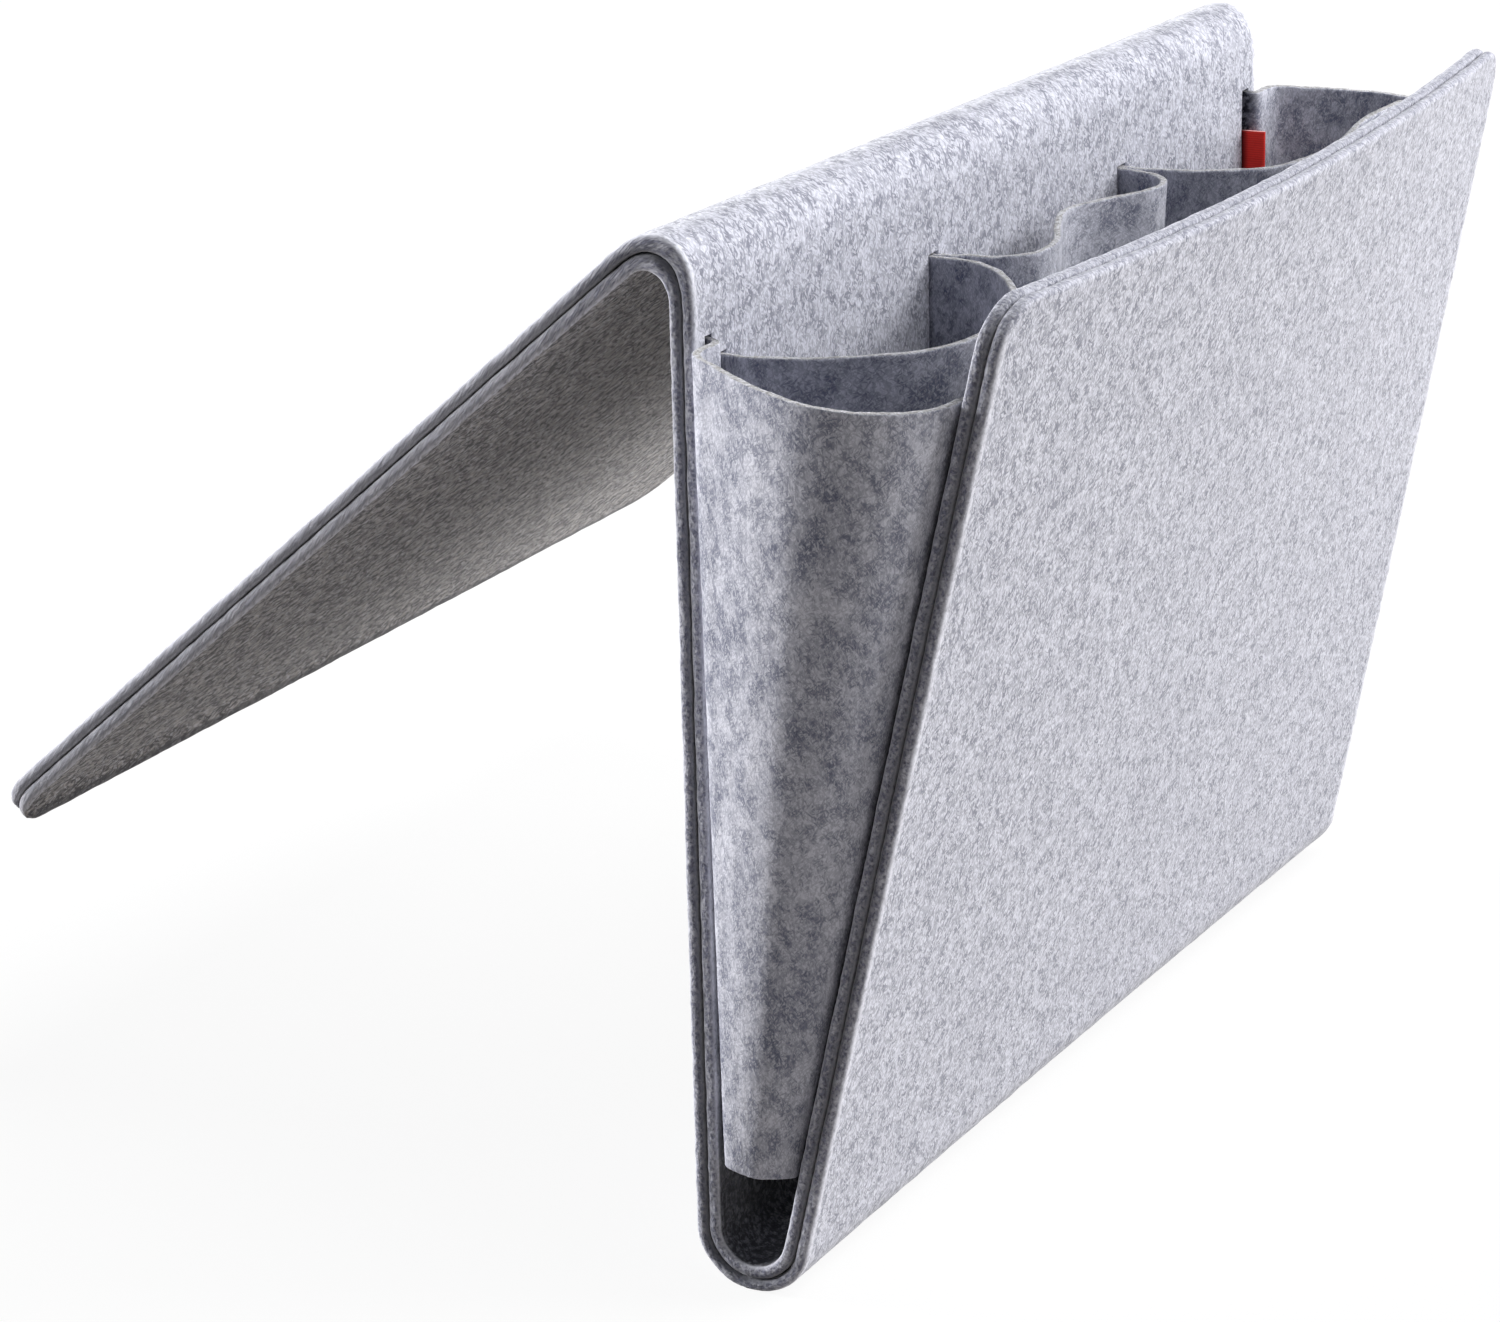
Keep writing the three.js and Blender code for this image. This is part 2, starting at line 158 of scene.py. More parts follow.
class CaddyColours(bpy.types.PropertyGroup):
    """Colours of the felts, the ribbon and the floor."""

    felt: colour("Felt", "Main colour of the felt", (0.585, 0.59, 0.665))
    felt_dark: colour("Felt fibres", "Dark fibres in the felt", (0.13, 0.135, 0.18))
    felt_light: colour("Felt light fibres", "Pale fibres in the felt", (0.74, 0.745, 0.81))
    # The underside's main colour is the strip's felt made warmer and darker with painted warm bounce light
    # and shade
    under: colour("Underside", "Main colour of the coarse felt under the flap", (0.525, 0.485, 0.457))
    under_dark: colour("Underside fibres", "Dark fibres of the coarse felt", (0.045, 0.04, 0.045))
    # The cut edges' dark colour is partly painted shade, for edges that face away from the lamps
    cut: colour("Cut edge", "Cut edges of the felt", (0.23, 0.235, 0.315))
    # Painted shade in the groove along the glue line, on the cut edges
    seam: colour("Seam", "Cut edges beside the glue line", (0.015, 0.016, 0.028))
    # Dark colour of the shade attribute: painted shade in the bottom fold and beside the gussets' slits, and
    # the darker border under the flap's free end
    painted_shade_and_border: colour("Squeezed felt", "Felt that is squeezed or pressed dark", (0.014, 0.015, 0.025))
    thin: colour("Thin felt", "Main colour of the thin felt", (0.66, 0.665, 0.745))
    thin_dark: colour("Thin felt fibres", "Dark fibres and clouds in the thin felt", (0.105, 0.115, 0.175))
    thin_light: colour("Thin felt light fibres", "Pale fibres in the thin felt", (0.72, 0.725, 0.79))
    thin_cut: colour("Thin cut edge", "Cut edges of the thin felt", (0.30, 0.29, 0.275))
    ribbon: colour("Ribbon", "Colour of the tag", (0.97, 0.05, 0.036))
    ribbon_dark: colour("Ribbon shade", "Gaps of the ribbon's weave", (0.66, 0.02, 0.018))
    ribbon_cut: colour("Ribbon edge", "Frayed edge of the ribbon", (0.80, 0.62, 0.60))
    ribbon_root: colour("Ribbon root", "Shaded root of the tag", (0.05, 0.003, 0.008))
    floor: colour("Floor", "Colour of the floor", (0.42, 0.40, 0.38))


def clamp(value):
    return min(max(value, 0.0), 1.0)


class Strip:
    """The folded strip: places a point of the flat felt, given across, along and through the strip.

    Along runs from the flap's free end over the top fold, down the back, round the bottom fold and up
    the front. Through is positive towards the layer that lies on the flap's top and on the pocket's inside.
    """

    # How far the front's top edge bows out in its middle and is tucked in at its ends, more at the right
    BOW = 0.008
    TUCK = 0.001
    TWIST = 0.002
    # Power with which the bow grows towards the top, and how far the front's right foot is pulled out
    BOW_RISE = 1.6
    FOOT_PULL = 0.0045
    # How far the left corner of the flap's free end droops, and from how far off
    DROOP = 0.003
    DROOP_REACH = 0.014
    # How far the outside of the top fold swells, and how much its pattern stretches
    SWELL = 0.0024
    STRETCH = 1.3
    # Where the strip's upper and lower pieces meet, as a share of the back
    SPLIT_SHARE = 0.45

    def __init__(self, sizes):
        self.sizes = sizes
        self.half = sizes.layer + sizes.glue_line / 2
        self.top_middle = sizes.top_radius + self.half
        self.bottom_middle = sizes.bottom_radius + self.half
        bottom_outer = self.bottom_middle + self.half
        self.bottom_axis = Vector((0, 0, bottom_outer - sizes.flattening))
        self.up = Vector((0, math.sin(sizes.back_lean), math.cos(sizes.back_lean)))
        self.pocketward = ACROSS.cross(self.up)
        offset = bottom_outer + sizes.top_radius
        rise = sizes.height - self.top_middle - self.half - self.bottom_axis.z
        self.back = (rise + offset * math.sin(sizes.back_lean)) / math.cos(sizes.back_lean)
        self.top_axis = self.bottom_axis + self.up * self.back - self.pocketward * offset
        self.front_up = Vector((0, -math.sin(sizes.front_lean), math.cos(sizes.front_lean)))
        self.front_out = ACROSS.cross(self.front_up)
        foot = self.bottom_axis.z - bottom_outer * math.sin(sizes.front_lean)
        self.front = (sizes.height - sizes.front_below - foot) / math.cos(sizes.front_lean)
        self.half_wedge = (sizes.back_lean + sizes.front_lean) / 2
        self.flap_down = Vector((0, math.cos(sizes.flap_drop), -math.sin(sizes.flap_drop)))
        self.flap_out = ACROSS.cross(self.flap_down)
        top_turn = math.pi / 2 - sizes.back_lean + sizes.flap_drop
        bottom_turn = math.pi - sizes.back_lean - sizes.front_lean
        self.top_from = sizes.flap
        self.back_from = self.top_from + self.top_middle * top_turn
        self.bottom_from = self.back_from + self.back
        self.front_from = self.bottom_from + self.bottom_middle * bottom_turn
        self.end = self.front_from + self.front
        self.split = self.back_from + self.SPLIT_SHARE * self.back

    def warp(self, x, height):
        """How far the front stands out from its plane: bowed at its top and pulled out at its right foot."""
        share = clamp(height / self.front)
        across = 2 * x / self.sizes.width
        bow = share**self.BOW_RISE * (self.BOW * (1 - across * across) - self.TUCK - self.TWIST * across)
        return bow + self.FOOT_PULL * ((1 + across) / 2) ** 2 * (1 - share)

    def droop(self, x, along):
        """How far the flap's free end hangs below its flat plane, most at its left corner."""
        lip = max(0.0, 1 - along / self.DROOP_REACH)
        return self.DROOP * lip * lip * (0.5 - x / self.sizes.width)

    def swell(self, share, through):
        """How much the bent felt swells in the top fold, most at its crest and on its outside."""
        return self.SWELL * math.sin(math.pi * share) ** 2 * (through + self.half) / (2 * self.half)

    def face_length(self, along, through):
        """Place along the felt's own face, which the top fold stretches outside and squeezes inside."""
        left = min(max(self.back_from - along, 0.0), self.back_from - self.top_from)
        return along - self.STRETCH * left * through / self.top_middle

    def place(self, x, along, through):
        if along <= self.top_from:
            out = self.top_middle + through - self.droop(x, along)
            down = self.flap_down * (self.top_from - along)
            return self.top_axis + ACROSS * x + down + self.flap_out * out
        if along <= self.back_from:
            turn = (along - self.top_from) / self.top_middle
            share = (along - self.top_from) / (self.back_from - self.top_from)
            out = Matrix.Rotation(turn, 3, "X") @ self.flap_out
            return self.top_axis + ACROSS * x + out * (self.top_middle + through + self.swell(share, through))
        if along <= self.bottom_from:
            return self.on_back(x, self.bottom_from - along, through - self.bottom_middle)
        if along <= self.front_from:
            turn = (along - self.bottom_from) / self.bottom_middle
            share = (along - self.bottom_from) / (self.front_from - self.bottom_from)
            out = Matrix.Rotation(-turn, 3, "X") @ -self.pocketward
            point = self.bottom_axis + ACROSS * x + out * (self.bottom_middle - through)
            point += self.front_out * self.warp(x, 0.0) * share * share
            floor = self.sizes.flattening * max(0.0, through + self.half) / self.half
            point.z = max(point.z, floor)
            return point
        return self.on_front(x, along - self.front_from, self.bottom_middle - through)

    def on_back(self, x, height, offset):
        """A point beside the back: height above the bottom fold, offset from its axis towards the pocket."""
        return self.bottom_axis + ACROSS * x + self.up * height + self.pocketward * offset

    def on_front(self, x, height, offset):
        """A point beside the front: height above the bottom fold, offset from its axis outwards."""
        out = offset + self.warp(x, height)
        return self.bottom_axis + ACROSS * x + self.front_up * height + self.front_out * out


def strip_and_insert():
    scene = bpy.context.scene
    return Strip(scene.caddy_strip), scene.caddy_insert


def stations(stops, spacing):
    """A rising list of positions through all the stops, about a spacing apart."""
    found = []
    for start, end in zip(stops, stops[1:]):
        count = max(1, round((end - start) / spacing))
        found += [start + (end - start) * i / count for i in range(count)]
    return found + [stops[-1]]


def running_length(places):
    """The length along a row of places, up to each of them."""
    lengths = [0.0]
    for start, end in zip(places, places[1:]):
        lengths.append(lengths[-1] + (end - start).length)
    return lengths


def finish_piece(bm, name, *materials):
    bmesh.ops.recalc_face_normals(bm, faces=bm.faces)
    for face in bm.faces:
        face.smooth = True
    mesh = bpy.data.meshes.new(name)
    bm.to_mesh(mesh)
    bm.free()
    for material in materials:
        mesh.materials.append(material)
    piece = bpy.data.objects.new(name, mesh)
    bpy.context.scene.collection.objects.link(piece)
    return piece


# Share of an edge's rounding, measured through the felt, at which the cut shows fully
CUT_SHARE = 0.7
ROUNDING_STEPS = 3


def flat_felt(columns, rows, low, high, edge, outline=None, holes=(), hole_edge=0.0, closed_row=None):
    """A flat piece of felt between two depths, on a grid of columns and rows, with its cut edges rounded.

    outline maps a grid point to the cut shape. holes are boxes (x0, x1, s0, s1) left open. The edge on
    closed_row is where two pieces of one felt meet, so it stays square. The vertices keep their flat place,
    how deep they lie in a cut edge and, set later, how dark they are painted there: painted shade in the
    bottom fold, beside the gussets' slits and at the tag's root, and a darker border under the flap's free
    end.
    """
    bm = bmesh.new()
    bmesh.ops.create_grid(bm, x_segments=len(columns) - 1, y_segments=len(rows) - 1, size=0.5)
    for vert in bm.verts:
        column = columns[round((vert.co.x + 0.5) * (len(columns) - 1))]
        row = rows[round((vert.co.y + 0.5) * (len(rows) - 1))]
        vert.co = Vector((column, row, low))

    def in_hole(spot, room):
        return any(
            x0 - room < spot.x < x1 + room and s0 - room < spot.y < s1 + room for x0, x1, s0, s1 in holes
        )

    def on_closed_row(item):
        return closed_row is not None and all(abs(vert.co.y - closed_row) < TOUCH for vert in item.verts)

    if holes:
        inside = [face for face in bm.faces if in_hole(face.calc_center_median(), 0.0)]
        bmesh.ops.delete(bm, geom=inside, context="FACES")
    if outline:
        for vert in bm.verts:
            vert.co.x, vert.co.y = outline(vert.co.x, vert.co.y)
    extruded = bmesh.ops.extrude_face_region(bm, geom=bm.faces[:], use_keep_orig=True)
    raised = [item for item in extruded["geom"] if isinstance(item, bmesh.types.BMVert)]
    bmesh.ops.translate(bm, vec=(0, 0, high - low), verts=raised)
    bmesh.ops.recalc_face_normals(bm, faces=bm.faces)

    rim = [
        item
        for item in bm.edges
        if len(item.link_faces) == 2
        and {abs(face.normal.z) < 0.5 for face in item.link_faces} == {True, False}
        and not on_closed_row(item)
    ]
    hole_rim = [item for item in rim if in_hole((item.verts[0].co + item.verts[1].co) / 2, TOUCH)]
    around_holes = set(hole_rim)
    outer_rim = [item for item in rim if item not in around_holes]
    for items, offset in ((hole_rim, hole_edge), (outer_rim, edge)):
        bmesh.ops.bevel(
            bm,
            geom=[item for item in items if item.is_valid],
            offset=offset,
            offset_type="OFFSET",
            affect="EDGES",
            segments=ROUNDING_STEPS,
            profile=0.5,
            material=-1,
            clamp_overlap=True,
        )
    for item in bm.edges:
        item.smooth = not on_closed_row(item)
    flat = bm.verts.layers.float_vector.new("felt")
    cut = bm.verts.layers.float.new("cut")
    bm.verts.layers.float.new("shade")
    for vert in bm.verts:
        vert[flat] = vert.co
        vert[cut] = min(1.0, min(vert.co.z - low, high - vert.co.z) / (CUT_SHARE * edge))
    return bm


# Sizes of the soft swellings of a felt's faces and of the rags of its cut edges, and how far both move it
NOISE_SEED = 5
SWELL_SIZE = 0.006
RAG_SIZE = 0.0017
STRIP_ROUGHNESS = 0.00024
THIN_ROUGHNESS = 0.00025


def roughen(bm, amount, seed):
    """Moves the flat felt's points a little: its faces swell softly and its cut edges are ragged."""
    noise.seed_set(NOISE_SEED)
    cut = bm.verts.layers.float["cut"]
    for vert in bm.verts:
        swell = noise.noise_vector(vert.co / SWELL_SIZE + Vector((seed, 0, 0)))
        rag = noise.noise_vector(vert.co / RAG_SIZE + Vector((0, seed, 0)))
        ragged = 0.25 + 0.75 * vert[cut]
        vert.co += (swell * 0.6 + rag * ragged) * amount


class Socket:
    """A shader socket that takes part in Python expressions."""

    def __init__(self, graph, link):
        self.graph = graph
        self.link = link

    def __add__(self, other):
        return self.graph.maths("ADD", self, other)

    def __radd__(self, other):
        return self.graph.maths("ADD", other, self)

    def __sub__(self, other):
        return self.graph.maths("SUBTRACT", self, other)

    def __rsub__(self, other):
        return self.graph.maths("SUBTRACT", other, self)

    def __mul__(self, other):
        return self.graph.maths("MULTIPLY", self, other)

    def __rmul__(self, other):
        return self.graph.maths("MULTIPLY", other, self)

    def between(self, low, high):
        """0 at low, 1 at high and past it, smooth between; low may be the greater one."""
        return self.graph.node(
            "ShaderNodeMapRange",
            {"interpolation_type": "SMOOTHSTEP", "clamp": True},
            {"Value": self, "From Min": low, "From Max": high, "To Min": 0.0, "To Max": 1.0},
        )


class Graph:
    """The nodes of a material or of the world."""

    def __init__(self, tree):
        self.tree = tree
        self.tree.nodes.clear()

    def node(self, kind, settings=None, inputs=None, output=0):
        made = self.tree.nodes.new(kind)
        for key, value in (settings or {}).items():
            setattr(made, key, value)
        for key, value in (inputs or {}).items():
            if isinstance(value, Socket):
                self.tree.links.new(value.link, made.inputs[key])
            else:
                made.inputs[key].default_value = value
        return Socket(self, made.outputs[output]) if made.outputs else None

    def maths(self, operation, *values):
        return self.node("ShaderNodeMath", {"operation": operation}, dict(enumerate(values)))

    def most(self, values):
        """The greatest of some values."""
        found, *others = values
        for other in others:
            found = self.maths("MAXIMUM", found, other)
        return found

    def attribute(self, name, output="Vector"):
        return self.node("ShaderNodeAttribute", {"attribute_name": name}, output=output)

    def mix(self, first, second, share):
        return self.node(
            "ShaderNodeMix", {"data_type": "RGBA"}, {"Factor": share, 6: first, 7: second}, output=2
        )

    def noise(self, vector, cell, turn=0.0, detail=1.0, shift=(0, 0, 0)):
        """Noise with cells of the given size, turned in the felt's plane."""
        local = self.node(
            "ShaderNodeMapping",
            {"vector_type": "TEXTURE"},
            {"Vector": vector, "Location": shift, "Rotation": (0, 0, turn), "Scale": cell},
        )
        return self.node(
            "ShaderNodeTexNoise", {}, {"Vector": local, "Scale": 1.0, "Detail": detail, "Roughness": 0.55}
        )

    def bump(self, height, strength, distance):
        return self.node(
            "ShaderNodeBump", {}, {"Strength": strength, "Distance": distance, "Height": height}
        )

    def seen(self):
        """1 on rays that the camera sees, also by reflection or through glass."""
        return self.most(
            self.node("ShaderNodeLightPath", output=f"Is {ray} Ray")
            for ray in ("Camera", "Glossy", "Transmission")
        )

    def surface(self, base, roughness, normal, sheen):
        shader = self.node(
            "ShaderNodeBsdfPrincipled",
            {},
            {
                "Base Color": base,
                "Roughness": roughness,
                "Normal": normal,
                "Sheen Weight": sheen,
                "Sheen Roughness": 0.5,
                "Specular IOR Level": 0.15,
            },
        )
        self.node("ShaderNodeOutputMaterial", {}, {"Surface": shader})


def new_material(name):
    material = bpy.data.materials.new(name)
    material.use_nodes = True
    return material, Graph(material.node_tree)


def opaque(value):
    return (*value, 1.0)


# Sizes of the felt's pattern across, along and through it, and the directions of its fibres
STRAND = 0.00042
PALE_STRAND = 0.00036
STRAND_TURNS = (-1.1, -0.45, 0.2, 0.85)
PALE_TURNS = (-0.7, 0.1, 0.6)
TUFT = (0.0032, 0.0046, 0.0026)
CLOUD = (0.014, 0.02, 0.012)
GRAIN = (0.0005, 0.0009, 0.0005)
FLECK = (0.0011, 0.0015, 0.0009)
SWAY = 0.0007
SWAYS_PER_METRE = 520.0

# Bands over which the felt's colour changes, measured from its sides, end, flap fold and glue line: pale fuzz
# and a painted highlight beside the sides, painted light on the cut edges at the end and along the flap, and
# painted shade at the glue line
SIDE_HIGHLIGHT_BAND = (0.0028, 0.0016)
END_LIGHT_BAND = (0.008, 0.002)
FLAP_LIGHT_BAND = (-0.004, 0.036)
SEAM_SHADE_BAND = (0.0022, 0.0003)


class FeltLook(NamedTuple):
    """One felt's colours, the proportions of its fibres and how strongly each part of its pattern shows.

    flap, side and end are the places of the flap's fold and of the strip's side and end.
    """

    main: tuple
    dark: tuple
    light: tuple
    cut: tuple
    fibre: tuple
    tufts: float
    clouds: float
    flecks: float
    strands: float
    grain: float
    # How strongly painted shade darkens the glue line
    seam: float = 0.0
    # How much painted light pales the cut edges along the flap
    flap_light: float = 0.0
    flap: float = 0.0
    side: float = 1.0
    end: float = 1.0


def strokes(graph, place, cell, turns, shift):
    """Short strokes in a few directions, 1 on a fibre and 0 between."""
    return graph.most(
        graph.noise(place, cell, turn, 0.0, (shift * (i + 1), 0.03, 0)).between(0.57, 0.70)
        for i, turn in enumerate(turns)
    )


class FeltPattern:
    """The parts of a felt's pattern over its flat place."""

    def __init__(self, graph, place, fibre):
        sway = graph.node(
            "ShaderNodeTexNoise",
            {},
            {"Vector": place, "Scale": SWAYS_PER_METRE, "Detail": 1.0},
            output="Color",
        )
        bent = graph.node(
            "ShaderNodeVectorMath", {"operation": "MULTIPLY_ADD"}, {0: sway, 1: (SWAY, SWAY, SWAY), 2: place}
        )
        self.strands = strokes(graph, bent, Vector(fibre) * STRAND, STRAND_TURNS, 0.1)
        self.pale = strokes(graph, bent, Vector(fibre) * PALE_STRAND, PALE_TURNS, 0.17)
        self.tufts = graph.noise(bent, TUFT, 0.3, 2.0).between(0.36, 0.66)
        self.clouds = graph.noise(place, CLOUD, -0.4, 1.5).between(0.36, 0.64)
        self.grain = graph.noise(place, GRAIN)
        self.flecks = graph.noise(place, FLECK, 0.0, 2.0).between(0.4, 0.68)


def felt_face(graph, look, pattern, across):
    """Colour of the felt's face: patches and short dark and pale fibres, with pale fuzz and a painted
    highlight beside the strip's sides.
    """
    dark = opaque(look.dark)
    light = opaque(look.light)
    patches = pattern.tufts * look.tufts + pattern.clouds * look.clouds + pattern.flecks * look.flecks
    face = graph.mix(opaque(look.main), dark, patches)
    face = graph.mix(face, light, pattern.pale * 0.5)
    face = graph.mix(face, dark, pattern.strands * (pattern.tufts * 0.5 + 0.5) * look.strands)
    face = graph.mix(face, dark, pattern.grain.between(0.5, 0.8) * look.grain)
    # Beside the strip's sides: pale fuzz and a painted highlight where the fuzzy edge catches the light
    side = graph.maths("ABSOLUTE", across).between(*(look.side - inwards for inwards in SIDE_HIGHLIGHT_BAND))
    return graph.mix(face, light, side * (1 - pattern.flecks * 0.6) * 0.8)


def felt_edge(graph, look, pattern):
    """Colour of the felt's cut edge: dark and mottled, with pale fibres; its darkness is partly painted
    shade.
    """
    mottled = pattern.grain.between(0.38, 0.62) * 0.7
    edge = graph.mix(opaque(look.cut), opaque(Vector(look.cut) * 0.4), mottled)
    return graph.mix(edge, opaque(look.light), pattern.flecks * 0.45 + pattern.pale * 0.3)


def felt_material(name, look, colours):
    """Heather felt with dark, fuzzy cut edges. Painted light makes the edges paler at the front's top end and
    along the flap, painted shade darkens them at the glue line, and the shade attribute adds painted shade
    and a darker flap border.
    """
    material, graph = new_material(name)
    place = graph.attribute("felt")
    cut = graph.attribute("cut", "Fac")
    shade = graph.attribute("shade", "Fac")
    across, along, through = (
        graph.node("ShaderNodeSeparateXYZ", {}, {0: place}, output=axis) for axis in range(3)
    )
    pattern = FeltPattern(graph, place, look.fibre)
    # Painted light on the cut edges that face the lamps: at the front's top end and along the flap
    edge_light_end = along.between(*(look.end - inwards for inwards in END_LIGHT_BAND))
    edge_light_flap = along.between(*(look.flap - inwards for inwards in FLAP_LIGHT_BAND)) * look.flap_light
    edge_light = edge_light_end + edge_light_flap
    base = felt_face(graph, look, pattern, across)
    base = graph.mix(base, felt_edge(graph, look, pattern), cut.between(0.1, 0.95) * (0.97 - edge_light * 0.5))
    # Painted shade along the glue line, weaker where painted light pales the edges
    seam = graph.maths("ABSOLUTE", through).between(*SEAM_SHADE_BAND) * (1 - edge_light * 0.8) * look.seam
    base = graph.mix(base, opaque(colours.seam), seam)
    # Painted shade in the bottom fold and beside the gussets' slits, and the flap's darker underside border,
    # from the shade attribute
    base = graph.mix(base, opaque(colours.painted_shade_and_border), shade * (1 - pattern.flecks * 0.4))
    fibres = pattern.strands * -0.3 + pattern.pale * 0.3 + pattern.tufts * 0.8
    fuzz = pattern.flecks * (cut * 2.6 + 0.4) + pattern.grain * (cut * 2.6 + 0.15)
    graph.surface(base, 0.92, graph.bump(fibres + fuzz, 0.26, 0.0002), 0.25)
    return material


def ribbon_material(name, colours):
    """Woven ribbon: fine ribs across, with darker gaps, a pale frayed edge and a shaded root."""
    material, graph = new_material(name)
    place = graph.attribute("felt")
    cut = graph.attribute("cut", "Fac")
    shade = graph.attribute("shade", "Fac")
    ribs = graph.node(
        "ShaderNodeTexWave",
        {"wave_type": "BANDS", "bands_direction": "Y"},
        {"Vector": place, "Scale": 500.0, "Distortion": 0.4, "Detail": 1.0},
        output="Fac",
    )
    threads = graph.noise(place, (0.0009, 0.00012, 0.0005))
    gaps = (1 - ribs) * 0.35 + threads.between(0.5, 0.8) * 0.3
    base = graph.mix(opaque(colours.ribbon), opaque(colours.ribbon_dark), gaps)
    base = graph.mix(base, opaque(colours.ribbon_cut), cut * 0.75)
    base = graph.mix(base, opaque(colours.ribbon_root), shade * 0.9)
    graph.surface(base, 0.7, graph.bump(ribs + threads * 0.5, 0.4, 0.0001), 0.1)
    return material


def felt_look(slot):
    """The look of the strip's felt, of the same felt under its flap, coarser and recoloured with painted warm
    bounce light and shade, or of the thin felt.
    """
    colours = bpy.context.scene.caddy_colours
    strip, _ = strip_and_insert()
    if slot == "thin_felt":
        return FeltLook(
            main=colours.thin,
            dark=colours.thin_dark,
            light=colours.thin_light,
            cut=colours.thin_cut,
            fibre=(1.0, 3.6, 2.0),
            tufts=0.4,
            clouds=0.34,
            flecks=0.16,
            strands=0.6,
            grain=0.1,
        )
    felt = FeltLook(
        main=colours.felt,
        dark=colours.felt_dark,
        light=colours.felt_light,
        cut=colours.cut,
        fibre=(1.4, 4.2, 2.4),
        tufts=0.2,
        clouds=0.1,
        flecks=0.16,
        strands=0.8,
        grain=0.08,
        seam=0.6,
        flap_light=0.7,
        flap=strip.top_from,
        side=strip.sizes.width / 2,
        end=strip.end,
    )
    if slot == "felt":
        return felt
    # The underside: coarser fibres, with colours that hold painted warm bounce light and shade
    return felt._replace(
        main=colours.under,
        dark=colours.under_dark,
        fibre=(8.0, 2.2, 2.0),
        tufts=0.5,
        clouds=0.12,
        flecks=0.3,
        strands=1.2,
        grain=0.2,
    )


def material_for(slot):
    """The felt, the under felt, the thin felt or the ribbon, made once."""
    colours = bpy.context.scene.caddy_colours
    name = f"caddy_{slot}"
    made = bpy.data.materials.get(name)
    if made:
        return made
    if slot == "ribbon":
        return ribbon_material(name, colours)
    return felt_material(name, felt_look(slot), colours)


def rounded_end(sizes, end, sign):
    """Bends the grid's two corner squares at a free end into quarter rounds, ring by ring."""
    half = sizes.width / 2
    corner = sizes.corner

    def outline(x, along):
        from_side = half - abs(x)
        from_end = sign * (end - along)
        if max(from_side, from_end) >= corner:
            return x, along
        ring = corner - min(from_side, from_end)
        part = 0.5 * (corner - max(from_side, from_end)) / ring
        turn = (part if from_side <= from_end else 1 - part) * math.pi / 2
        from_side = corner - ring * math.cos(turn)
        from_end = corner - ring * math.sin(turn)
        return math.copysign(half - from_side, x), end - sign * from_end

    return outline


def pouch_slits(strip, insert):
    """Places of the pouches' slits across the strip: a single one, and two that each hold two sheets."""
    left = -strip.sizes.width / 2 + insert.pouch_inset
    first = left + insert.left_width
    return left, first, first + insert.middle_width


# Half of the gap inside the tag's loop
LOOP_GAP = 0.0001


def tag_place(strip, insert):
    """Place of the tag's middle across the strip, in the right gusset's slit."""
    gusset_face = strip.sizes.width / 2 - insert.gusset_inset - insert.felt / 2
    return gusset_face - insert.slit - insert.ribbon - LOOP_GAP


def slit_boxes(strip, insert):
    """Slits of the pocket layer as (x0, x1, s0, s1): the gussets' on back and front, then the pouches'."""
    tag_room = insert.ribbon + LOOP_GAP + insert.slit
    gusset_room = insert.felt / 2 + insert.slit
    gusset_top = strip.back - insert.gusset_below + insert.slit_end
    gusset_foot = insert.gusset_from - insert.slit_end
    pouch_top = strip.back - insert.pouch_below + insert.slit_end
    pouch_foot = insert.pouch_from - insert.slit_end
    right = strip.sizes.width / 2 - insert.gusset_inset
    boxes = []
    for x, back_start in ((-right, -right - gusset_room), (right, tag_place(strip, insert) - tag_room)):
        end = x + gusset_room
        boxes.append((back_start, end, strip.bottom_from - gusset_top, strip.bottom_from - gusset_foot))
        boxes.append((x - gusset_room, end, strip.front_from + gusset_foot, strip.front_from + gusset_top))
    for x, sheets in zip(pouch_slits(strip, insert), (1, 2, 2)):
        room = sheets * (insert.felt + insert.slit) / 2 + insert.slit / 2
        boxes.append((x - room, x + room, strip.bottom_from - pouch_top, strip.bottom_from - pouch_foot))
    return boxes


# How far in and how darkly the flap's underside is darkened along its free end, and how far and how darkly
# painted shade fills the inside of the bottom fold
BORDER = 0.004
BORDER_DARKNESS = 0.75
FOLD_SHADE_REACH = 0.034
FOLD_SHADE = 0.95


def darken_flap_border(bm, low):
    """Marks a darker border on the flap's underside, along its free end."""
    shade = bm.verts.layers.float["shade"]
    for vert in bm.verts:
        if vert.co.y < BORDER and vert.co.z < low + TOUCH:
            vert[shade] = BORDER_DARKNESS


def shade_bottom_fold(bm, strip, high):
    """Marks painted shade on the inside of the bottom fold, fading up the back and the front."""
    shade = bm.verts.layers.float["shade"]
    for vert in bm.verts:
        away = max(strip.bottom_from - vert.co.y, vert.co.y - strip.front_from, 0.0)
        if vert.co.z > high - TOUCH and away < FOLD_SHADE_REACH:
            vert[shade] = FOLD_SHADE * (1 - (away / FOLD_SHADE_REACH) ** 2)


# Spacing of the strip's grid, and the lines beside its rim
STRIP_COLUMN = 0.0026
STRIP_ROW = 0.0015
STRIP_RIM = (0.0, 0.0017, 0.0034)
UPPER_SEED = 3.0
UNDER_SEED = 11.0


def strip_grid(strip, start, end, free, inwards, holes):
    """Columns and rows of a strip piece, with lines at its holes, bends, rim and free corners."""
    sides = [strip.sizes.width / 2 - offset for offset in STRIP_RIM]
    stops = sorted({*sides, *(-x for x in sides), *(x for hole in holes for x in hole[:2])})
    bends = (strip.top_from, strip.back_from, strip.bottom_from, strip.front_from)
    marks = {start, end, *(place for hole in holes for place in hole[2:])}
    marks |= {bend for bend in bends if start < bend < end}
    marks |= {free + inwards * offset for offset in (*STRIP_RIM, strip.sizes.corner)}
    return stations(stops, STRIP_COLUMN), stations(sorted(marks), STRIP_ROW)


